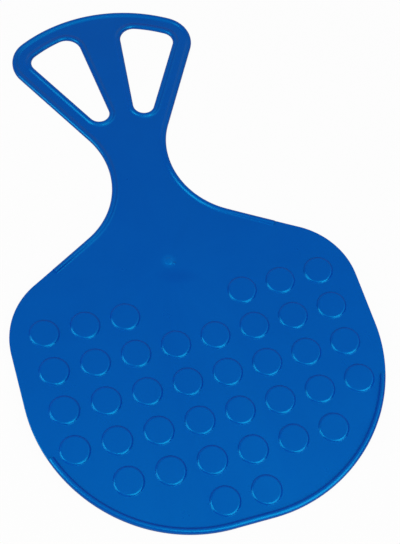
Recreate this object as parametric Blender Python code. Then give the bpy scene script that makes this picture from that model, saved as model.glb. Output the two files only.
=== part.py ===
"""Bum slider: a one-piece polyethylene plate with a seat to sit on and a flared handle to hold.

It lies on its underside, seat face up. +Y runs from the seat's end to the handle, and the origin is
the middle of the plate on the plane that it rests on. Lengths are in metres, angles in degrees.
"""

from collections import namedtuple
from math import acos, atan2, ceil, cos, degrees, radians, sin

import bmesh
import bpy
from mathutils import Matrix, Vector

# Outline of the seat, the neck and the handle, seen from above
LENGTH = 0.548
SEAT_WIDTH = 0.324
SEAT_END_RADIUS = 0.144
SHOULDER_RADIUS = 0.073
SHOULDER_SLOPE = 31.8  # straight edge from the shoulder to the neck, off the X axis
NECK_WIDTH = 0.060
NECK_RADIUS = 0.079
NECK_FROM_SEAT_END = 0.3624
HANDLE_FLARE = 29.5  # straight side of the handle, off the Y axis
HANDLE_CORNER_RADIUS = 0.0302
CROWN_RADIUS = 0.1532

# Hand openings, and what is left of the handle round them
GRIP_BAR_WIDTH = 0.019
ARM_WIDTH = 0.0186
STRUT_WIDTH = 0.0457  # between the openings, on the line of the grip bar's inner edge
STRUT_TAPER = 6.0  # side of the strut, off the Y axis
OPENING_FOOT_RADIUS = 0.0104
OPENING_INNER_RADIUS = 0.0145
OPENING_OUTER_RADIUS = 0.0114

# Cross-section of the plate and its rims
WALL = 0.0025
RIM_HEIGHT = 0.0021  # above the seat face
RIM_WIDTH = 0.0051
COLLAR_WIDTH = 0.0048
BARE_EDGE_ROUND = 0.0008
UNDERSIDE_ROUND = 0.0007
RIM_FOOT_ROUND = 0.0005

# Where the rims stop and leave the seat's sides bare
SEAT_RIM_END = 20.0  # on the seat's end arc, below its widest point
HANDLE_RIM_START = 0.0235  # along the straight edge, from the shoulder's arc

# Anti-slip discs. For each row from the seat's end: how many places beside the middle line are
# empty, and how many there are up to the row's end
DISC_ROWS = ((0, 1), (0, 3), (0, 4), (0, 4), (0, 4), (1, 4))
DISC_PITCH = 0.037
FIRST_ROW_FROM_SEAT_END = 0.0243
DISC_DIAMETER = 0.0268
DISC_HEIGHT = 0.0013
DISC_EDGE_WIDTH = 0.0013  # of the sloping edge round a disc's top
DISC_EDGE_HEIGHT = 0.0007
DISC_DRAFT = 0.0004  # how far the side leans in below that edge

# Injection gate's mark: a low dome by the middle line with a small nub beside it
GATE_DOME_X = -0.0015
GATE_DOME_FROM_SEAT_END = 0.2525
GATE_DOME_DIAMETER = 0.010
GATE_DOME_HEIGHT = 0.0004
GATE_NUB_OFFSET = (0.0058, -0.0028)  # from the dome's centre
GATE_NUB_DIAMETER = 0.0022
GATE_NUB_HEIGHT = 0.0008

# The seat is dished across: flat for one disc pitch on each side of the middle line, then rising
# to the sides on strips that are one pitch wide, so that each disc lies on a flat strip. The dish
# ends in the neck, and the handle is flat.
DISH_RISE = 0.0081  # at the seat's widest point
DISH_FADE = 0.05  # length of the stretch of neck over which the dish ends

# How finely round shapes are cut into facets
CHORD_ERROR = 0.00012
ROUND_STEPS = 3
DISC_SIDES = 20
GATE_SIDES = 12
MERGE = 0.000001
CREASE_SNAP = 0.0001  # a corner of the mesh this near to a crease of the dish counts as on it

POLYETHYLENE_BLUE = (0.0005, 0.058, 0.375, 1.0)
POLYETHYLENE_ROUGHNESS = 0.35

SEAT_END_Y = -LENGTH / 2
CROWN_CENTRE = Vector((0.0, LENGTH / 2 - CROWN_RADIUS))
GRIP_ARC_RADIUS = CROWN_RADIUS - GRIP_BAR_WIDTH
NECK_CENTRE = Vector((NECK_WIDTH / 2 + NECK_RADIUS, SEAT_END_Y + NECK_FROM_SEAT_END))
CREST = BARE_EDGE_ROUND + RIM_HEIGHT  # inset of a rim's highest line, and the radius of its outer round

# An arc of an outline. material is 1 where the plate is on the arc's inner side and -1 where it is
# outside; rimmed tells whether the edge there carries a rim.
Arc = namedtuple("Arc", "centre radius start end material rimmed")
# A place on an outline, from which an inset point is found.
Station = namedtuple("Station", "centre radius angle material rimmed")
# A straight edge: a point on it and its direction, with the plate on its left.
Edge = namedtuple("Edge", "point direction")


def heading(angle):
    """The unit vector at an angle from the X axis."""
    return Vector((cos(radians(angle)), sin(radians(angle))))


def moved_left(edge, distance):
    """The same edge moved to its left."""
    left = Vector((-edge.direction.y, edge.direction.x))
    return Edge(edge.point + distance * left, edge.direction)


def meeting(first, second):
    """The point where two straight edges meet."""
    gap = second.point - first.point
    along = gap.cross(second.direction) / first.direction.cross(second.direction)
    return first.point + along * first.direction


def meeting_circle(edge, centre, radius):
    """The point where a straight edge, followed forwards, leaves a circle."""
    from_centre = edge.point - centre
    half = from_centre.dot(edge.direction)
    inside = radius**2 - from_centre.length_squared + half**2
    return edge.point + (inside**0.5 - half) * edge.direction


def bearing(centre, point):
    """The angle at which a point is seen from a centre."""
    return degrees(atan2(point.y - centre.y, point.x - centre.x))


def neck_edge():
    """The straight edge from the shoulder to the neck's arc."""
    touch = NECK_CENTRE - NECK_RADIUS * heading(90 - SHOULDER_SLOPE)
    return Edge(touch, heading(180 - SHOULDER_SLOPE))


def flare_edge():
    """The handle's straight side, from the neck's arc up to the corner."""
    touch = NECK_CENTRE + NECK_RADIUS * heading(180 - HANDLE_FLARE)
    return Edge(touch, heading(90 - HANDLE_FLARE))


def outline_arcs():
    """The right half of the outline, from the seat's end to the crown."""
    seat_centre = Vector((SEAT_WIDTH / 2 - SEAT_END_RADIUS, SEAT_END_Y + SEAT_END_RADIUS))
    side = Edge(Vector((SEAT_WIDTH / 2, 0.0)), heading(90))
    shoulder_centre = meeting(
        moved_left(side, SHOULDER_RADIUS), moved_left(neck_edge(), SHOULDER_RADIUS)
    )
    slope = 90 - SHOULDER_SLOPE
    rim_start = shoulder_centre + HANDLE_RIM_START * heading(180 - SHOULDER_SLOPE)
    corner_centre = meeting_circle(
        moved_left(flare_edge(), HANDLE_CORNER_RADIUS),
        CROWN_CENTRE,
        CROWN_RADIUS - HANDLE_CORNER_RADIUS,
    )
    crown_start = bearing(CROWN_CENTRE, corner_centre)
    return (
        Arc(Vector((0.0, seat_centre.y)), SEAT_END_RADIUS, -90, -90, 1, True),
        Arc(seat_centre, SEAT_END_RADIUS, -90, -SEAT_RIM_END, 1, True),
        Arc(seat_centre, SEAT_END_RADIUS, -SEAT_RIM_END, 0, 1, False),
        Arc(shoulder_centre, SHOULDER_RADIUS, 0, slope, 1, False),
        Arc(rim_start, SHOULDER_RADIUS, slope, slope, 1, False),
        Arc(rim_start, SHOULDER_RADIUS, slope, slope, 1, True),
        Arc(NECK_CENTRE, NECK_RADIUS, 180 + slope, 180 - HANDLE_FLARE, -1, True),
        Arc(corner_centre, HANDLE_CORNER_RADIUS, -HANDLE_FLARE, crown_start, 1, True),
        Arc(CROWN_CENTRE, CROWN_RADIUS, crown_start, 90, 1, True),
    )


def opening_arcs():
    """The right hand opening: a rounded triangle between the strut, the arm and the grip bar."""
    arm_side = moved_left(flare_edge(), ARM_WIDTH)
    strut_top = Vector((STRUT_WIDTH / 2, CROWN_CENTRE.y + GRIP_ARC_RADIUS))
    strut_down = Edge(strut_top, heading(270 - STRUT_TAPER))
    strut_up = Edge(strut_top, -strut_down.direction)
    foot_centre = meeting(
        moved_left(strut_down, OPENING_FOOT_RADIUS), moved_left(arm_side, OPENING_FOOT_RADIUS)
    )
    outer_centre = meeting_circle(
        moved_left(arm_side, OPENING_OUTER_RADIUS),
        CROWN_CENTRE,
        GRIP_ARC_RADIUS - OPENING_OUTER_RADIUS,
    )
    inner_centre = meeting_circle(
        moved_left(strut_up, -OPENING_INNER_RADIUS),
        CROWN_CENTRE,
        GRIP_ARC_RADIUS - OPENING_INNER_RADIUS,
    )
    outer = bearing(CROWN_CENTRE, outer_centre)
    inner = bearing(CROWN_CENTRE, inner_centre)
    strut = 180 - STRUT_TAPER
    return (
        Arc(foot_centre, OPENING_FOOT_RADIUS, strut, 360 - HANDLE_FLARE, -1, True),
        Arc(outer_centre, OPENING_OUTER_RADIUS, -HANDLE_FLARE, outer, -1, True),
        Arc(CROWN_CENTRE, GRIP_ARC_RADIUS, outer, inner, -1, True),
        Arc(inner_centre, OPENING_INNER_RADIUS, inner, strut, -1, True),
    )


def stations(arcs):
    """Places along the arcs, close enough together for the chord error, each place once."""
    found = []
    for arc in arcs:
        sweep = radians(abs(arc.end - arc.start))
        steps = ceil(sweep / (2 * acos(1 - CHORD_ERROR / arc.radius)))
        for step in range(steps + 1):
            angle = arc.start + (arc.end - arc.start) * step / max(steps, 1)
            place = Station(arc.centre, arc.radius, angle, arc.material, arc.rimmed)
            last = found[-1] if found else None
            repeated = last and (inset(last, 0) - inset(place, 0)).length < MERGE
            if not (repeated and last.rimmed == place.rimmed):
                found.append(place)
    return found


def inset(station, distance):
    """The point of the plan at a distance from the outline, square to it, into the plate."""
    return station.centre + (station.radius - station.material * distance) * heading(station.angle)


def quarter(centre, across, up, start, steps):
    """A quarter of an ellipse in a cross-section, as (inset, z) pairs, turning clockwise from start."""
    turns = [radians(start - 90 * step / steps) for step in range(steps + 1)]
    return [(centre[0] + across * cos(t), centre[1] + up * sin(t)) for t in turns]


def underside_round():
    """The round from the underside to the plate's edge, as (inset, z) pairs."""
    centre = (UNDERSIDE_ROUND, UNDERSIDE_ROUND)
    return quarter(centre, UNDERSIDE_ROUND, UNDERSIDE_ROUND, 270, 1)


def rim_section(width):
    """The edge of the plate with a rim on it, as (inset, z) pairs from underneath to the seat face."""
    foot_z = WALL + RIM_FOOT_ROUND
    outer = quarter((CREST, WALL - BARE_EDGE_ROUND), CREST, CREST, 180, ROUND_STEPS)
    inner = quarter((CREST, foot_z), width - CREST, RIM_HEIGHT - RIM_FOOT_ROUND, 90, ROUND_STEPS)
    return underside_round() + outer + inner[1:] + [(width + RIM_FOOT_ROUND, WALL)]


def bare_section(width):
    """The edge of the plate with no rim, with one point for each of the rimmed edge."""
    centre = (BARE_EDGE_ROUND, WALL - BARE_EDGE_ROUND)
    edge = quarter(centre, BARE_EDGE_ROUND, BARE_EDGE_ROUND, 180, ROUND_STEPS)
    face_points = ROUND_STEPS + 1
    face_step = (width + RIM_FOOT_ROUND - BARE_EDGE_ROUND) / face_points
    face = [(BARE_EDGE_ROUND + face_step * step, WALL) for step in range(1, face_points + 1)]
    return underside_round() + edge + face


def loft_edge(bm, arcs, width, closed):
    """Sweeps the cross-section of an edge along its outline. Where the rim stops, two stations in
    one place make its squared end."""
    made = {}
    sections = []
    for station in stations(arcs):
        section = []
        for distance, z in rim_section(width) if station.rimmed else bare_section(width):
            corner = Vector((*inset(station, distance), z))
            place = tuple(round(value / MERGE) for value in corner)
            if place not in made:
                made[place] = bm.verts.new(corner)
            section.append(made[place])
        sections.append(section)
    followers = sections[1:] + sections[:1] if closed else sections[1:]
    for section, follower in zip(sections, followers):
        for low in range(len(section) - 1):
            around = (section[low], follower[low], follower[low + 1], section[low + 1])
            corners = list(dict.fromkeys(around))
            if len(corners) > 2:
                bm.faces.new(corners)


def add_disc_face(bm, x, y, diameter, sides):
    """A round face that lies on the seat face."""
    ring = bmesh.ops.create_circle(
        bm,
        cap_ends=True,
        segments=sides,
        radius=diameter / 2,
        matrix=Matrix.Translation((x, y, WALL)),
    )
    return ring["verts"][0].link_faces[0]


def disc_places():
    """The centres of all anti-slip discs."""
    for row, (first, last) in enumerate(DISC_ROWS):
        y = SEAT_END_Y + FIRST_ROW_FROM_SEAT_END + row * DISC_PITCH
        for column in range(first, last):
            yield (column + 0.5) * DISC_PITCH, y
            yield -(column + 0.5) * DISC_PITCH, y


def plate_mesh():
    """The whole plate before it is dished, with the creases of the dish already in its faces."""
    bm = bmesh.new()
    loft_edge(bm, outline_arcs(), RIM_WIDTH, False)
    loft_edge(bm, opening_arcs(), COLLAR_WIDTH, True)
    right_half = bm.verts[:] + bm.edges[:] + bm.faces[:]
    bmesh.ops.mirror(bm, geom=right_half, axis="X", merge_dist=MERGE)

    discs = [add_disc_face(bm, x, y, DISC_DIAMETER, DISC_SIDES) for x, y in disc_places()]
    dome_x, dome_y = GATE_DOME_X, SEAT_END_Y + GATE_DOME_FROM_SEAT_END
    nub_x, nub_y = dome_x + GATE_NUB_OFFSET[0], dome_y + GATE_NUB_OFFSET[1]
    dome = add_disc_face(bm, dome_x, dome_y, GATE_DOME_DIAMETER, GATE_SIDES)
    nub = add_disc_face(bm, nub_x, nub_y, GATE_NUB_DIAMETER, GATE_SIDES)
    open_edges = [edge for edge in bm.edges if edge.is_boundary]
    underside = [edge for edge in open_edges if edge.verts[0].co.z < WALL / 2]
    seat_face = [edge for edge in open_edges if edge.verts[0].co.z > WALL / 2]
    bmesh.ops.triangle_fill(bm, use_beauty=True, edges=underside)
    bmesh.ops.triangle_fill(bm, use_beauty=True, edges=seat_face)
    bmesh.ops.recalc_face_normals(bm, faces=bm.faces)

    raised = {"use_even_offset": True, "use_interpolate": False}
    bmesh.ops.inset_individual(
        bm, faces=discs, thickness=DISC_DRAFT, depth=DISC_HEIGHT - DISC_EDGE_HEIGHT, **raised
    )
    bmesh.ops.inset_individual(
        bm, faces=discs, thickness=DISC_EDGE_WIDTH, depth=DISC_EDGE_HEIGHT, **raised
    )
    bmesh.ops.inset_individual(
        bm, faces=[dome], thickness=GATE_DOME_DIAMETER / 4, depth=GATE_DOME_HEIGHT, **raised
    )
    bmesh.ops.inset_individual(
        bm, faces=[nub], thickness=GATE_NUB_DIAMETER / 4, depth=GATE_NUB_HEIGHT, **raised
    )

    creases = range(1, ceil(SEAT_WIDTH / 2 / DISC_PITCH))
    for crease in [side * crease * DISC_PITCH for crease in creases for side in (1, -1)]:
        bmesh.ops.bisect_plane(
            bm,
            geom=bm.verts[:] + bm.edges[:] + bm.faces[:],
            dist=CREASE_SNAP,
            plane_co=(crease, 0, 0),
            plane_no=(1, 0, 0),
        )
    mesh = bpy.data.meshes.new("slider_moulding")
    bm.to_mesh(mesh)
    bm.free()
    return mesh


def dish_lattice():
    """Two rows of control points across the plate, one unit apart. The row on the seat's side of the
    neck is raised towards its ends, and the row on the handle's side is not."""
    lattice = bpy.data.lattices.new("dish")
    side = SEAT_WIDTH / 2 / DISC_PITCH
    strips = ceil(side)
    lattice.points_u = 2 * strips + 1
    lattice.points_v = 2
    lattice.points_w = 1
    lattice.interpolation_type_u = "KEY_LINEAR"
    lattice.interpolation_type_v = "KEY_LINEAR"
    for column in range(lattice.points_u):
        pitches = abs(column - strips)
        rise = DISH_RISE * max(pitches**2 - 1, 0) / (side**2 - 1)
        lattice.points[column].co_deform.z += rise
    return lattice


def polyethylene():
    """The one material: blue polyethylene with a fine moulded grain."""
    material = bpy.data.materials.new("blue_polyethylene")
    material.use_nodes = True
    shader = material.node_tree.nodes["Principled BSDF"]
    shader.inputs["Base Color"].default_value = POLYETHYLENE_BLUE
    shader.inputs["Roughness"].default_value = POLYETHYLENE_ROUGHNESS
    shader.inputs["Metallic"].default_value = 0.0
    material.diffuse_color = POLYETHYLENE_BLUE
    return material


def new_collection(name):
    """A collection in the scene."""
    collection = bpy.data.collections.new(name)
    bpy.context.scene.collection.children.link(collection)
    return collection


def new_guide(name, data, collection):
    """An object that shapes the plate and isn't a part of it."""
    guide = bpy.data.objects.new(name, data)
    guide.hide_render = True
    guide.display_type = "WIRE"
    collection.objects.link(guide)
    return guide


def build():
    """Clears the scene and builds the slider."""
    for old in list(bpy.data.objects):
        bpy.data.objects.remove(old)
    guides = new_collection("guides")
    parts = new_collection("bum_slider")

    mesh = plate_mesh()
    mesh.materials.append(polyethylene())
    mesh.shade_smooth()
    mesh.set_sharp_from_angle(angle=radians(30))
    slider = bpy.data.objects.new("slider_moulding", mesh)
    parts.objects.link(slider)

    dish = slider.modifiers.new("dish", "LATTICE")
    dish.object = new_guide("dish", dish_lattice(), guides)
    dish.object.scale = (DISC_PITCH, DISH_FADE, 1.0)
    dish.object.location.y = NECK_CENTRE.y

    shading = slider.modifiers.new("shading", "WEIGHTED_NORMAL")
    shading.keep_sharp = True


build()
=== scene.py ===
from collections import namedtuple
from math import acos, atan2, ceil, cos, degrees, pi, radians, sin

import bmesh
import bpy
from mathutils import Matrix, Vector


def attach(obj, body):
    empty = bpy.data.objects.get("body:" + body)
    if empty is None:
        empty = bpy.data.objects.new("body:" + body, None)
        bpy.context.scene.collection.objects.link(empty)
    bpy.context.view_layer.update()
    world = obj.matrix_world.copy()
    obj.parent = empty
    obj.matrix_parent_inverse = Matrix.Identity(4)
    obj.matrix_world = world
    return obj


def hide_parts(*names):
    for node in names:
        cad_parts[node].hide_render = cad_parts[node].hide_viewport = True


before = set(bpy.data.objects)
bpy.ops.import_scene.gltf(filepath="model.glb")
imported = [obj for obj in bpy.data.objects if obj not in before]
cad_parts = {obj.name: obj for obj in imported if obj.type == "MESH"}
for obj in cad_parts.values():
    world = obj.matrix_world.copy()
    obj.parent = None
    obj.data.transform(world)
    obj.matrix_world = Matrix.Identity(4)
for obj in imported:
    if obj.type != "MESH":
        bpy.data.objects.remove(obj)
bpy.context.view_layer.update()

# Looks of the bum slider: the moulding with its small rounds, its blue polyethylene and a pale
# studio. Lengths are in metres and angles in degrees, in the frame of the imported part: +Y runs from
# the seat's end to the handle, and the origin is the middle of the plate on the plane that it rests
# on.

# A rim's section: its width from the plate's edge to the end of its foot, its height above the
# face, and the radii of its round crest and its hollow foot.
Rim = namedtuple("Rim", "width height crest_round foot_round")
# An arc of an outline. material is 1 where the plate is on the arc's inner side and -1 where it is
# outside; rim is the rim that the edge carries, or None where the edge is bare.
Arc = namedtuple("Arc", "centre radius start end material rim")
# A place on an outline, from which an inset point is found.
Station = namedtuple("Station", "centre radius angle material rim")
# A straight edge: a point on it and its direction, with the plate on its left.
Edge = namedtuple("Edge", "point direction")
# A noise texture: its scale, its number of finer layers, and how strong they are.
Noise = namedtuple("Noise", "scale detail roughness")
# A glow of the room. The sharper it is, the less of the room it takes in.
Glow = namedtuple("Glow", "tilt azimuth sharpness brightness")

# Outline of the seat, the neck and the handle, seen from above
LENGTH = 0.548
SEAT_WIDTH = 0.324
SEAT_END_RADIUS = 0.144
SHOULDER_RADIUS = 0.073
SHOULDER_SLOPE = 31.8  # straight edge from the shoulder to the neck, off the X axis
NECK_WIDTH = 0.060
NECK_RADIUS = 0.079
NECK_FROM_SEAT_END = 0.3624
HANDLE_FLARE = 29.5  # straight side of the handle, off the Y axis
HANDLE_CORNER_RADIUS = 0.0302
CROWN_RADIUS = 0.1532

# Hand openings, and what is left of the handle round them
GRIP_BAR_WIDTH = 0.019
ARM_WIDTH = 0.0186
STRUT_WIDTH = 0.0457  # between the openings, on the line of the grip bar's inner edge
STRUT_TAPER = 6.0  # side of the strut, off the Y axis
OPENING_FOOT_RADIUS = 0.0104
OPENING_INNER_RADIUS = 0.0145
OPENING_OUTER_RADIUS = 0.0114

# Cross-section of the plate and its rims
WALL = 0.0025
SEAT_RIM = Rim(width=0.0062, height=0.0021, crest_round=0.0018, foot_round=0.0013)
HANDLE_RIM = Rim(width=0.007, height=0.0014, crest_round=0.00445, foot_round=0.00445)
BARE_EDGE_ROUND = 0.0008
UNDERSIDE_ROUND = 0.0007

# Where the rims stop and leave the seat's sides bare
SEAT_RIM_END = 20.0  # on the seat's end arc, below its widest point
HANDLE_RIM_START = 0.0235  # along the straight edge, from the shoulder's arc

# Anti-slip discs. For each row from the seat's end: how many places beside the middle line are
# empty, and how many there are up to the row's end
DISC_ROWS = ((0, 1), (0, 3), (0, 4), (0, 4), (0, 4), (1, 4))
DISC_PITCH = 0.037
FIRST_ROW_FROM_SEAT_END = 0.0243
DISC_TOP_RADIUS = 0.0112  # of the flat top, inside the round edge
DISC_HEIGHT = 0.0013
DISC_EDGE_ROUND = 0.0027
DISC_EDGE_SLOPE = 55.0  # where the round edge goes over into the fillet at the disc's foot

# Injection gate's mark: a low dome by the middle line with a small nub beside it
GATE_DOME_X = -0.0017
GATE_DOME_FROM_SEAT_END = 0.2547
GATE_DOME_RADIUS = 0.0038
GATE_DOME_HEIGHT = 0.0004
GATE_NUB_OFFSET = (0.0044, -0.0034)  # from the dome's centre
GATE_NUB_RADIUS = 0.0016
GATE_NUB_HEIGHT = 0.0008

# The seat is dished across: flat for one disc pitch on each side of the middle line, and then
# rising to the sides. The neck is narrower than that flat part, and the handle is flat.
DISH_RISE = 0.0081  # at the seat's widest point

# How finely the surfaces are cut
STATION_SPACING = 0.002  # along the arcs of an outline
ROUND_STEPS = 8  # in the rounds at an edge, in a rim's crest and in a disc's edge
FOOT_STEPS = 4  # in the underside's round and at the foot of a rim or a disc
DISC_SIDES = 48
GATE_SIDES = 24
CAP_TURNS = (0, 15, 30, 45, 60, 75)  # up the side of the gate's dome and nub
STRIP_WIDTH = 0.004  # of the strips along Y that let the faces follow the dish
STRIP_SNAP = 0.0002  # a corner this near to a strip's edge counts as on it
MERGE = 0.000001  # points this near to each other are one
SHARP_ANGLE = 50.0  # an edge where the surface turns by more than this is shaded sharp

# Shine of the polyethylene, with a blue tint in its highlights
REFRACTIVE_INDEX = 1.7
SPECULAR_LEVEL = 1.0
SPECULAR_TINT = (0.01, 0.7, 1.0, 1.0)
ROUGHNESS = (0.27, 0.33)  # at its glossiest and at its dullest
RUB_ROUGHNESS = 0.12  # on top of that, where it is rubbed

# Its blues, which change slowly over the face, in clouds and along the flow of the melt
DEEP_BLUE = (0.0001, 0.0385, 0.346, 1.0)
LIGHT_BLUE = (0.0001, 0.0445, 0.372, 1.0)
CLOUD_SHARE = 0.6
FLOW_SHARE = 0.4

# The light patch round the gate, and a dark oval in front of it, which is painted shade: it stands
# for the shade of a shallow sink mark in the face. Each fades out between the two numbers of its
# fade: distances from the gate, or parts of the oval's half axes
LIGHT_PATCH_BLUE = (0.0001, 0.073, 0.42, 1.0)
LIGHT_PATCH_FADE = (0.004, 0.0085)
SINK_SHADE_BLUE = (0.0001, 0.032, 0.342, 1.0)
SINK_SHADE_FADE = (0.3, 1.2)
SINK_SHADE_HALF_AXES = (0.02, 0.0075)
SINK_SHADE_X = 0.0024
SINK_SHADE_FROM_SEAT_END = 0.2378
SINK_SHADE_TURN = -15.0  # of its long axis, off the X axis

# Its patterns. A noise's range is the part of its values over which the pattern changes
NOISE_RANGE = (0.3, 0.7)
CLOUDS = Noise(9.0, 3.0, 0.5)
FLOW = Noise(9.0, 4.0, 0.6)
FLOW_CHANGE = 1.5  # how fast the streaks change with the distance from the gate
GLOSS = Noise(30.0, 4.0, 0.6)
HAIRS = Noise(900.0, 2.0, 0.5)
HAIR_RANGE = (0.66, 0.74)
HAIR_STRETCH = (1.0, 0.03, 0.03)  # makes the hairlines long along Y, the way it slides
HAIR_TURN = 14.0  # keeps the noise's own grid from lying along the hairlines
RUBBED_AREAS = Noise(14.0, 2.0, 0.5)
RUBBED_AREA_RANGE = (0.52, 0.66)

# Its relief, with the heights in millimetres
MILLIMETRE = 0.001
GRAIN = Noise(1500.0, 2.0, 0.6)
GRAIN_HEIGHT = 0.004
WAVES = Noise(22.0, 1.0, 0.5)
WAVE_HEIGHT = 0.25
RUB_DEPTH = 0.004

# Camera of the photograph, with its lens and sensor in millimetres
CAMERA_PLACE = (-0.20579, -0.48443, 0.95955)
CAMERA_TARGET = (0.02299, -0.03784, 0.0036)
CAMERA_ROLL = 11.616
CAMERA_LENS = 77.507
CAMERA_SENSOR_WIDTH = 36.0
CAMERA_NEAREST = 0.01
CAMERA_FARTHEST = 50.0

# Studio: soft boxes that face the middle of the object, each at a tilt from straight above and an
# azimuth, the glows of the room, and a pale floor
SOFTBOXES = (("left_softbox", 49.5, 181.0), ("front_softbox", 47.0, 298.0))
SOFTBOX_DISTANCE = 1.6
SOFTBOX_WIDTH = 1.04
SOFTBOX_HEIGHT = 1.6
SOFTBOX_RADIANCE = 2.9
GLOWS = (
    Glow(27.0, 2.0, 20.0, 1.27),
    Glow(12.0, 243.0, 12.0, 0.65),
    Glow(72.0, 42.0, 5.0, 0.4),
    Glow(29.0, 63.0, 30.0, 0.1),
    Glow(60.0, 108.0, 7.0, 0.52),
    Glow(74.0, 240.0, 8.0, 0.7),
)
WHITE = (1.0, 1.0, 1.0, 1.0)
FLOOR_GREY = (0.55, 0.55, 0.55, 1.0)
FLOOR_WHITE_SHARE = 0.96  # plain white to the camera; the rest keeps the shadow
FLOOR_REACH = 4.0  # from its middle to each side
FLOOR_Z = -0.0004  # just clear of the underside

SEAT_END_Y = -LENGTH / 2
CROWN_CENTRE = Vector((0.0, LENGTH / 2 - CROWN_RADIUS))
GRIP_ARC_RADIUS = CROWN_RADIUS - GRIP_BAR_WIDTH
NECK_CENTRE = Vector((NECK_WIDTH / 2 + NECK_RADIUS, SEAT_END_Y + NECK_FROM_SEAT_END))
GATE_PLACE = (GATE_DOME_X, SEAT_END_Y + GATE_DOME_FROM_SEAT_END, 0.0)
SINK_SHADE_PLACE = (SINK_SHADE_X, SEAT_END_Y + SINK_SHADE_FROM_SEAT_END, 0.0)


def heading(angle):
    """The unit vector at an angle from the X axis."""
    return Vector((cos(radians(angle)), sin(radians(angle))))


def from_above(tilt, azimuth):
    """The unit vector that leans from straight up by a tilt, towards an azimuth."""
    return Vector((*(sin(radians(tilt)) * heading(azimuth)), cos(radians(tilt))))


def moved_left(edge, distance):
    """The same edge moved to its left."""
    left = Vector((-edge.direction.y, edge.direction.x))
    return Edge(edge.point + distance * left, edge.direction)


def meeting(first, second):
    """The point where two straight edges meet."""
    gap = second.point - first.point
    along = gap.cross(second.direction) / first.direction.cross(second.direction)
    return first.point + along * first.direction


def meeting_circle(edge, centre, radius):
    """The point where a straight edge, followed forwards, leaves a circle."""
    from_centre = edge.point - centre
    half = from_centre.dot(edge.direction)
    inside = radius**2 - from_centre.length_squared + half**2
    return edge.point + (inside**0.5 - half) * edge.direction


def bearing(centre, point):
    """The angle at which a point is seen from a centre."""
    return degrees(atan2(point.y - centre.y, point.x - centre.x))


def neck_edge():
    """The straight edge from the shoulder to the neck's arc."""
    touch = NECK_CENTRE - NECK_RADIUS * heading(90 - SHOULDER_SLOPE)
    return Edge(touch, heading(180 - SHOULDER_SLOPE))


def flare_edge():
    """The handle's straight side, from the neck's arc up to the corner."""
    touch = NECK_CENTRE + NECK_RADIUS * heading(180 - HANDLE_FLARE)
    return Edge(touch, heading(90 - HANDLE_FLARE))


def outline_arcs():
    """The right half of the outline, from the seat's end to the crown. The arcs of no length are
    the middle of the seat's end, and the place on the straight edge where the rim starts again:
    with the seat's section, which turns into the handle's on the way to the neck's arc."""
    seat_centre = Vector((SEAT_WIDTH / 2 - SEAT_END_RADIUS, SEAT_END_Y + SEAT_END_RADIUS))
    side = Edge(Vector((SEAT_WIDTH / 2, 0.0)), heading(90))
    shoulder_centre = meeting(
        moved_left(side, SHOULDER_RADIUS), moved_left(neck_edge(), SHOULDER_RADIUS)
    )
    slope = 90 - SHOULDER_SLOPE
    rim_start = shoulder_centre + HANDLE_RIM_START * heading(180 - SHOULDER_SLOPE)
    corner_centre = meeting_circle(
        moved_left(flare_edge(), HANDLE_CORNER_RADIUS),
        CROWN_CENTRE,
        CROWN_RADIUS - HANDLE_CORNER_RADIUS,
    )
    crown_start = bearing(CROWN_CENTRE, corner_centre)
    return (
        Arc(Vector((0.0, seat_centre.y)), SEAT_END_RADIUS, -90, -90, 1, SEAT_RIM),
        Arc(seat_centre, SEAT_END_RADIUS, -90, -SEAT_RIM_END, 1, SEAT_RIM),
        Arc(seat_centre, SEAT_END_RADIUS, -SEAT_RIM_END, 0, 1, None),
        Arc(shoulder_centre, SHOULDER_RADIUS, 0, slope, 1, None),
        Arc(rim_start, SHOULDER_RADIUS, slope, slope, 1, None),
        Arc(rim_start, SHOULDER_RADIUS, slope, slope, 1, SEAT_RIM),
        Arc(NECK_CENTRE, NECK_RADIUS, 180 + slope, 180 - HANDLE_FLARE, -1, HANDLE_RIM),
        Arc(corner_centre, HANDLE_CORNER_RADIUS, -HANDLE_FLARE, crown_start, 1, HANDLE_RIM),
        Arc(CROWN_CENTRE, CROWN_RADIUS, crown_start, 90, 1, HANDLE_RIM),
    )


def opening_arcs():
    """The right hand opening: a rounded triangle between the strut, the arm and the grip bar."""
    arm_side = moved_left(flare_edge(), ARM_WIDTH)
    strut_top = Vector((STRUT_WIDTH / 2, CROWN_CENTRE.y + GRIP_ARC_RADIUS))
    strut_down = Edge(strut_top, heading(270 - STRUT_TAPER))
    strut_up = Edge(strut_top, -strut_down.direction)
    foot_centre = meeting(
        moved_left(strut_down, OPENING_FOOT_RADIUS), moved_left(arm_side, OPENING_FOOT_RADIUS)
    )
    outer_centre = meeting_circle(
        moved_left(arm_side, OPENING_OUTER_RADIUS),
        CROWN_CENTRE,
        GRIP_ARC_RADIUS - OPENING_OUTER_RADIUS,
    )
    inner_centre = meeting_circle(
        moved_left(strut_up, -OPENING_INNER_RADIUS),
        CROWN_CENTRE,
        GRIP_ARC_RADIUS - OPENING_INNER_RADIUS,
    )
    outer = bearing(CROWN_CENTRE, outer_centre)
    inner = bearing(CROWN_CENTRE, inner_centre)
    strut = 180 - STRUT_TAPER
    return (
        Arc(foot_centre, OPENING_FOOT_RADIUS, strut, 360 - HANDLE_FLARE, -1, HANDLE_RIM),
        Arc(outer_centre, OPENING_OUTER_RADIUS, -HANDLE_FLARE, outer, -1, HANDLE_RIM),
        Arc(CROWN_CENTRE, GRIP_ARC_RADIUS, outer, inner, -1, HANDLE_RIM),
        Arc(inner_centre, OPENING_INNER_RADIUS, inner, strut, -1, HANDLE_RIM),
    )


def inset(station, distance):
    """The point of the plan at a distance from the outline, square to it, into the plate."""
    return station.centre + (station.radius - station.material * distance) * heading(station.angle)


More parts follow.
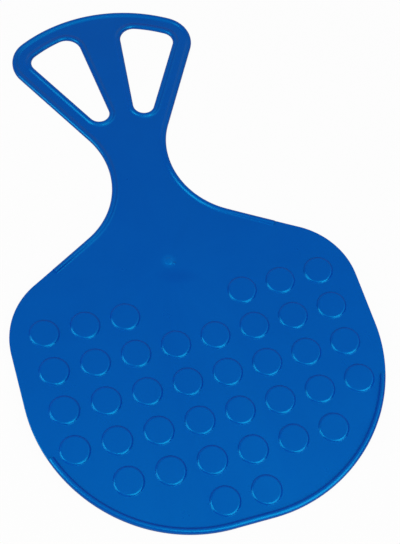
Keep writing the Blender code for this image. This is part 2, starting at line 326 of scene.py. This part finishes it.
def stations(arcs):
    """Places along the arcs, a station's spacing apart. Each comes once, but where a rim starts or
    stops it comes twice, with the rim and without."""
    found = []
    for arc in arcs:
        steps = ceil(radians(abs(arc.end - arc.start)) * arc.radius / STATION_SPACING)
        for step in range(steps + 1):
            angle = arc.start + (arc.end - arc.start) * step / max(steps, 1)
            place = Station(arc.centre, arc.radius, angle, arc.material, arc.rim)
            last = found[-1] if found else None
            repeated = last and (inset(last, 0) - inset(place, 0)).length < MERGE
            if not (repeated and last.rim == place.rim):
                found.append(place)
    return found


def quarter(centre, radius, start, steps):
    """A quarter of a circle in a cross-section, as (inset, z) pairs, clockwise from start."""
    turns = [radians(start - 90 * step / steps) for step in range(steps + 1)]
    return [(centre[0] + radius * cos(t), centre[1] + radius * sin(t)) for t in turns]


def underside_round():
    """The round from the underside to the plate's edge, as (inset, z) pairs."""
    return quarter((UNDERSIDE_ROUND, UNDERSIDE_ROUND), UNDERSIDE_ROUND, 270, FOOT_STEPS)


def rim_section(rim):
    """The edge of the plate with a rim on it, as (inset, z) pairs from underneath to the seat face.
    The crest's round goes over into the foot's hollow where both are at their steepest."""
    outer_round = BARE_EDGE_ROUND + rim.height
    both_rounds = rim.crest_round + rim.foot_round
    steepest = acos(1 - rim.height / both_rounds)
    flat_end = rim.width - both_rounds * sin(steepest)
    crest_turns = [steepest * step / ROUND_STEPS for step in range(ROUND_STEPS + 1)]
    foot_turns = [steepest * step / FOOT_STEPS for step in range(FOOT_STEPS - 1, -1, -1)]
    outer = quarter((outer_round, WALL - BARE_EDGE_ROUND), outer_round, 180, ROUND_STEPS)
    crest = [
        (flat_end + rim.crest_round * sin(t), WALL + rim.height - rim.crest_round * (1 - cos(t)))
        for t in crest_turns
    ]
    foot = [
        (rim.width - rim.foot_round * sin(t), WALL + rim.foot_round * (1 - cos(t)))
        for t in foot_turns
    ]
    return underside_round() + outer + crest + foot


def bare_section():
    """The edge of the plate with no rim, as (inset, z) pairs. It has as many as a rim's section, so
    that the two can be joined."""
    centre = (BARE_EDGE_ROUND, WALL - BARE_EDGE_ROUND)
    edge = quarter(centre, BARE_EDGE_ROUND, 180, ROUND_STEPS)
    face_points = ROUND_STEPS + FOOT_STEPS + 1
    face_step = (SEAT_RIM.width - BARE_EDGE_ROUND) / face_points
    face = [(BARE_EDGE_ROUND + face_step * step, WALL) for step in range(1, face_points + 1)]
    return underside_round() + edge + face


def loft_edge(bm, arcs, closed):
    """Sweeps the cross-section of an edge along its outline, which is closed or ends on X = 0."""
    made = {}
    sections = []
    for station in stations(arcs):
        section = []
        for distance, z in rim_section(station.rim) if station.rim else bare_section():
            corner = Vector((*inset(station, distance), z))
            place = tuple(round(value / MERGE) for value in corner)
            if place not in made:
                made[place] = bm.verts.new(corner)
            section.append(made[place])
        sections.append(section)
    followers = sections[1:] + sections[:1] if closed else sections[1:]
    for section, follower in zip(sections, followers):
        for low in range(len(section) - 1):
            around = (section[low], follower[low], follower[low + 1], section[low + 1])
            corners = list(dict.fromkeys(around))
            if len(corners) > 2:
                bm.faces.new(corners)


def raise_mark(bm, x, y, profile, sides):
    """Turns a profile of (radius, height) pairs round a centre on the seat face, with its top
    closed."""
    turns = [radians(360 * side / sides) for side in range(sides)]
    rings = [
        [bm.verts.new((x + r * cos(t), y + r * sin(t), WALL + height)) for t in turns]
        for r, height in profile
    ]
    for ring, above in zip(rings, rings[1:]):
        for side in range(sides):
            after = (side + 1) % sides
            bm.faces.new((ring[side], ring[after], above[after], above[side]))
    bm.faces.new(rings[-1])


def disc_profile():
    """Section of an anti-slip disc, from the end of its foot's fillet to its flat top. The fillet
    takes the part of the disc's height that the round edge leaves."""
    slope = radians(DISC_EDGE_SLOPE)
    fillet = DISC_HEIGHT / (1 - cos(slope)) - DISC_EDGE_ROUND
    side = DISC_TOP_RADIUS + DISC_EDGE_ROUND * sin(slope)
    foot_turns = [slope * step / FOOT_STEPS for step in range(FOOT_STEPS)]
    edge_turns = [slope * step / ROUND_STEPS for step in range(ROUND_STEPS, -1, -1)]
    foot = [(side + fillet * (sin(slope) - sin(t)), fillet * (1 - cos(t))) for t in foot_turns]
    edge = [
        (DISC_TOP_RADIUS + DISC_EDGE_ROUND * sin(t), DISC_HEIGHT - DISC_EDGE_ROUND * (1 - cos(t)))
        for t in edge_turns
    ]
    return foot + edge


def cap_profile(radius, height):
    """Section of a low dome."""
    return [(radius * cos(radians(t)), height * sin(radians(t))) for t in CAP_TURNS]


def disc_places():
    """The centres of all anti-slip discs."""
    for row, (first, last) in enumerate(DISC_ROWS):
        y = SEAT_END_Y + FIRST_ROW_FROM_SEAT_END + row * DISC_PITCH
        for column in range(first, last):
            yield (column + 0.5) * DISC_PITCH, y
            yield -(column + 0.5) * DISC_PITCH, y


def everything(bm):
    """All geometry of a bmesh, for the operators that ask for it."""
    return bm.verts[:] + bm.edges[:] + bm.faces[:]


def fill_both_faces(bm):
    """Closes the underside and the seat face between the edges, the discs and the gate's mark."""
    open_edges = [edge for edge in bm.edges if edge.is_boundary]
    underside = [edge for edge in open_edges if edge.verts[0].co.z < WALL / 2]
    seat_face = [edge for edge in open_edges if edge.verts[0].co.z > WALL / 2]
    for around in (underside, seat_face):
        bmesh.ops.triangle_fill(bm, use_beauty=True, edges=around)


def cut_into_strips(bm):
    """Cuts the plate along Y, so that its faces can follow the dish."""
    cuts = int(SEAT_WIDTH / 2 / STRIP_WIDTH)
    for cut in range(-cuts, cuts + 1):
        bmesh.ops.bisect_plane(
            bm,
            geom=everything(bm),
            dist=STRIP_SNAP,
            plane_co=(cut * STRIP_WIDTH, 0, 0),
            plane_no=(1, 0, 0),
        )


def dish(x, y):
    """How far the plate rises at a place in the plan."""
    if y > NECK_CENTRE.y:
        return 0.0
    side = SEAT_WIDTH / 2 / DISC_PITCH
    return DISH_RISE * max((x / DISC_PITCH) ** 2 - 1, 0) / (side**2 - 1)


def finished_mesh(bm, name):
    """Turns a bmesh into a mesh and frees it."""
    mesh = bpy.data.meshes.new(name)
    bm.to_mesh(mesh)
    bm.free()
    return mesh


def moulding_mesh():
    """The whole moulding with its small rounds."""
    bm = bmesh.new()
    loft_edge(bm, outline_arcs(), closed=False)
    loft_edge(bm, opening_arcs(), closed=True)
    bmesh.ops.mirror(bm, geom=everything(bm), axis="X", merge_dist=MERGE)
    for x, y in disc_places():
        raise_mark(bm, x, y, disc_profile(), DISC_SIDES)
    dome_x, dome_y, _ = GATE_PLACE
    nub_x, nub_y = dome_x + GATE_NUB_OFFSET[0], dome_y + GATE_NUB_OFFSET[1]
    raise_mark(bm, dome_x, dome_y, cap_profile(GATE_DOME_RADIUS, GATE_DOME_HEIGHT), GATE_SIDES)
    raise_mark(bm, nub_x, nub_y, cap_profile(GATE_NUB_RADIUS, GATE_NUB_HEIGHT), GATE_SIDES)
    fill_both_faces(bm)
    bmesh.ops.recalc_face_normals(bm, faces=bm.faces)
    cut_into_strips(bm)
    for vertex in bm.verts:
        vertex.co.z += dish(vertex.co.x, vertex.co.y)
    return finished_mesh(bm, "slider_surface")


def feed(tree, socket, value):
    """Puts a number, a vector, a colour or the output of another node into a node's input."""
    if isinstance(value, bpy.types.NodeSocket):
        tree.links.new(value, socket)
    else:
        socket.default_value = value


def calculate(tree, operation, *numbers):
    """The result of a calculation with one number or two."""
    node = tree.nodes.new("ShaderNodeMath")
    node.operation = operation
    for socket, number in zip(node.inputs, numbers):
        feed(tree, socket, number)
    return node.outputs["Value"]


def vector_node(tree, operation, *vectors):
    """A calculation with one vector or two. Its result is in its output Vector or Value."""
    node = tree.nodes.new("ShaderNodeVectorMath")
    node.operation = operation
    for socket, vector in zip(node.inputs, vectors):
        feed(tree, socket, vector)
    return node


def mapped(tree, vector, kind, location, turn, scale):
    """A vector scaled, turned about Z and moved. Where kind is TEXTURE, it is the pattern that is
    scaled, turned and moved, and not the vector."""
    node = tree.nodes.new("ShaderNodeMapping")
    node.vector_type = kind
    node.inputs["Location"].default_value = location
    node.inputs["Rotation"].default_value = (0.0, 0.0, radians(turn))
    node.inputs["Scale"].default_value = scale
    tree.links.new(vector, node.inputs["Vector"])
    return node.outputs["Vector"]


def noise(tree, vector, pattern):
    """A noise texture's value at a place."""
    texture = tree.nodes.new("ShaderNodeTexNoise")
    texture.inputs["Scale"].default_value = pattern.scale
    texture.inputs["Detail"].default_value = pattern.detail
    texture.inputs["Roughness"].default_value = pattern.roughness
    tree.links.new(vector, texture.inputs["Vector"])
    return texture.outputs["Fac"]


def ranged(tree, value, within, to_low=0.0, to_high=1.0):
    """A value that goes from to_low to to_high while another goes through a range."""
    change = tree.nodes.new("ShaderNodeMapRange")
    for socket, number in zip(change.inputs[1:5], (*within, to_low, to_high)):
        socket.default_value = number
    tree.links.new(value, change.inputs["Value"])
    return change.outputs["Result"]


def mixed_colours(tree, share, first, second):
    """A colour between two, where share is the second one's."""
    node = tree.nodes.new("ShaderNodeMix")
    node.data_type = "RGBA"
    for name, value in (("Factor", share), ("A", first), ("B", second)):
        feed(tree, node.inputs[name], value)
    return node.outputs["Result"]


def mixed_shaders(tree, share, first, second):
    """A mixture of two shaders, where share is the second one's."""
    node = tree.nodes.new("ShaderNodeMixShader")
    for socket, value in zip(node.inputs, (share, first, second)):
        tree.links.new(value, socket)
    return node.outputs["Shader"]


def flow_pattern(tree, from_gate, reach):
    """Streaks that spread from the gate, as the melt did."""
    split = tree.nodes.new("ShaderNodeSeparateXYZ")
    tree.links.new(from_gate, split.inputs["Vector"])
    turn = calculate(tree, "ARCTAN2", split.outputs["Y"], split.outputs["X"])
    polar = tree.nodes.new("ShaderNodeCombineXYZ")
    tree.links.new(calculate(tree, "SINE", turn), polar.inputs["X"])
    tree.links.new(calculate(tree, "COSINE", turn), polar.inputs["Y"])
    tree.links.new(calculate(tree, "MULTIPLY", reach, FLOW_CHANGE), polar.inputs["Z"])
    return noise(tree, polar.outputs["Vector"], FLOW)


def shaded_blue(tree, place):
    """The blue of the face, with its slow changes of tone, the light patch round the gate, and an
    oval of painted shade in front of it.
    """
    from_gate = vector_node(tree, "SUBTRACT", place, GATE_PLACE).outputs["Vector"]
    reach = vector_node(tree, "LENGTH", from_gate).outputs["Value"]
    clouds = calculate(tree, "MULTIPLY", noise(tree, place, CLOUDS), CLOUD_SHARE)
    flow = calculate(tree, "MULTIPLY", flow_pattern(tree, from_gate, reach), FLOW_SHARE)
    shade = ranged(tree, calculate(tree, "ADD", clouds, flow), NOISE_RANGE)
    colour = mixed_colours(tree, shade, DEEP_BLUE, LIGHT_BLUE)
    # Painted shade: an oval where the blue is darker, standing for the shade in a shallow sink mark
    half_axes = (*SINK_SHADE_HALF_AXES, 1.0)
    oval = mapped(tree, place, "TEXTURE", SINK_SHADE_PLACE, SINK_SHADE_TURN, half_axes)
    spread = vector_node(tree, "LENGTH", oval).outputs["Value"]
    painted_sink_shade = ranged(tree, spread, SINK_SHADE_FADE, 1.0, 0.0)
    colour = mixed_colours(tree, painted_sink_shade, colour, SINK_SHADE_BLUE)
    light = ranged(tree, reach, LIGHT_PATCH_FADE, 1.0, 0.0)
    return mixed_colours(tree, light, colour, LIGHT_PATCH_BLUE)


def hairline_rubs(tree, place):
    """Fine lines in a few areas, mostly along the way it slides."""
    stretched = mapped(tree, place, "POINT", (0.0, 0.0, 0.0), HAIR_TURN, HAIR_STRETCH)
    hairs = ranged(tree, noise(tree, stretched, HAIRS), HAIR_RANGE)
    areas = ranged(tree, noise(tree, place, RUBBED_AREAS), RUBBED_AREA_RANGE)
    return calculate(tree, "MULTIPLY", hairs, areas)


def polyethylene():
    """Blue polyethylene as it comes out of the mould: satin, with a fine grain, a faint flow
    pattern that spreads from the gate, slow changes of shade and gloss, and hairline rubs."""
    material = bpy.data.materials.new("blue_polyethylene")
    material.use_nodes = True
    tree = material.node_tree
    shader = tree.nodes["Principled BSDF"]
    shader.inputs["IOR"].default_value = REFRACTIVE_INDEX
    shader.inputs["Specular IOR Level"].default_value = SPECULAR_LEVEL
    shader.inputs["Specular Tint"].default_value = SPECULAR_TINT
    place = tree.nodes.new("ShaderNodeTexCoord").outputs["Object"]
    tree.links.new(shaded_blue(tree, place), shader.inputs["Base Color"])

    rubs = hairline_rubs(tree, place)
    gloss = ranged(tree, noise(tree, place, GLOSS), NOISE_RANGE, *ROUGHNESS)
    rubbed = calculate(tree, "MULTIPLY", rubs, RUB_ROUGHNESS)
    tree.links.new(calculate(tree, "ADD", gloss, rubbed), shader.inputs["Roughness"])

    grain = calculate(tree, "MULTIPLY", noise(tree, place, GRAIN), GRAIN_HEIGHT)
    waves = calculate(tree, "MULTIPLY", noise(tree, place, WAVES), WAVE_HEIGHT)
    relief = calculate(tree, "ADD", grain, waves)
    scratches = calculate(tree, "MULTIPLY", rubs, -RUB_DEPTH)
    bump = tree.nodes.new("ShaderNodeBump")
    bump.inputs["Distance"].default_value = MILLIMETRE
    tree.links.new(calculate(tree, "ADD", relief, scratches), bump.inputs["Height"])
    tree.links.new(bump.outputs["Normal"], shader.inputs["Normal"])
    return material


def add_object(name, data):
    """A new object in the scene."""
    made = bpy.data.objects.new(name, data)
    bpy.context.scene.collection.objects.link(made)
    return made


def make_slider():
    """The slider's one visible piece, which stands for the CAD's moulding."""
    mesh = moulding_mesh()
    mesh.shade_smooth()
    mesh.set_sharp_from_angle(angle=radians(SHARP_ANGLE))
    mesh.materials.append(polyethylene())
    surface = add_object("slider_surface", mesh)
    shading = surface.modifiers.new("shading", "WEIGHTED_NORMAL")
    shading.keep_sharp = True
    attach(surface, "root")
    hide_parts("slider_moulding")


def make_floor():
    """A pale floor that keeps a faint shadow and reads as white to the camera."""
    bm = bmesh.new()
    bmesh.ops.create_grid(bm, x_segments=1, y_segments=1, size=FLOOR_REACH)
    mesh = finished_mesh(bm, "floor")
    floor = add_object("floor", mesh)
    floor.location.z = FLOOR_Z
    material = bpy.data.materials.new("pale_floor")
    material.use_nodes = True
    tree = material.node_tree
    tree.nodes.remove(tree.nodes["Principled BSDF"])
    diffuse = tree.nodes.new("ShaderNodeBsdfDiffuse")
    diffuse.inputs["Color"].default_value = FLOOR_GREY
    white = tree.nodes.new("ShaderNodeEmission")
    path = tree.nodes.new("ShaderNodeLightPath")
    share = calculate(tree, "MULTIPLY", path.outputs["Is Camera Ray"], FLOOR_WHITE_SHARE)
    mix = mixed_shaders(tree, share, diffuse.outputs["BSDF"], white.outputs["Emission"])
    tree.links.new(mix, tree.nodes["Material Output"].inputs["Surface"])
    mesh.materials.append(material)


def background(tree, strength):
    """A white background with a strength."""
    node = tree.nodes.new("ShaderNodeBackground")
    node.inputs["Color"].default_value = WHITE
    feed(tree, node.inputs["Strength"], strength)
    return node.outputs["Background"]


def make_world():
    """A studio with a few wide, soft glows round the object. The camera sees a white backdrop."""
    world = bpy.data.worlds.new("studio")
    bpy.context.scene.world = world
    world.use_nodes = True
    tree = world.node_tree
    tree.nodes.clear()
    direction = tree.nodes.new("ShaderNodeTexCoord").outputs["Generated"]
    strength = 0.0
    for glow in GLOWS:
        towards = from_above(glow.tilt, glow.azimuth)
        facing = vector_node(tree, "DOT_PRODUCT", direction, towards).outputs["Value"]
        off_centre = calculate(tree, "SUBTRACT", facing, 1.0)
        fall = calculate(tree, "EXPONENT", calculate(tree, "MULTIPLY", off_centre, glow.sharpness))
        light = calculate(tree, "MULTIPLY", fall, glow.brightness)
        strength = calculate(tree, "ADD", light, strength)
    is_camera = tree.nodes.new("ShaderNodeLightPath").outputs["Is Camera Ray"]
    mix = mixed_shaders(tree, is_camera, background(tree, strength), background(tree, 1.0))
    output = tree.nodes.new("ShaderNodeOutputWorld")
    tree.links.new(mix, output.inputs["Surface"])


def make_softbox(name, tilt, azimuth):
    """A tall soft box that faces the middle of the object."""
    light = bpy.data.lights.new(name, "AREA")
    light.shape = "RECTANGLE"
    light.size = SOFTBOX_WIDTH
    light.size_y = SOFTBOX_HEIGHT
    light.energy = SOFTBOX_RADIANCE * pi * SOFTBOX_WIDTH * SOFTBOX_HEIGHT
    lamp = add_object(name, light)
    away = from_above(tilt, azimuth)
    lamp.location = SOFTBOX_DISTANCE * away
    lamp.rotation_mode = "QUATERNION"
    lamp.rotation_quaternion = away.to_track_quat("Z", "Y")
    lamp.visible_camera = False


def make_camera():
    """The photograph's camera."""
    data = bpy.data.cameras.new("camera")
    data.sensor_width = CAMERA_SENSOR_WIDTH
    data.lens = CAMERA_LENS
    data.clip_start = CAMERA_NEAREST
    data.clip_end = CAMERA_FARTHEST
    camera = add_object("camera", data)
    camera.location = CAMERA_PLACE
    sight = Vector(CAMERA_TARGET) - Vector(CAMERA_PLACE)
    level = sight.to_track_quat("-Z", "Y").to_matrix()
    roll = Matrix.Rotation(radians(CAMERA_ROLL), 3, "Z")
    camera.rotation_mode = "QUATERNION"
    camera.rotation_quaternion = (level @ roll).to_quaternion()
    bpy.context.scene.camera = camera


make_slider()
make_floor()
make_world()
make_camera()
for softbox in SOFTBOXES:
    make_softbox(*softbox)
bpy.context.scene.view_settings.view_transform = "Standard"
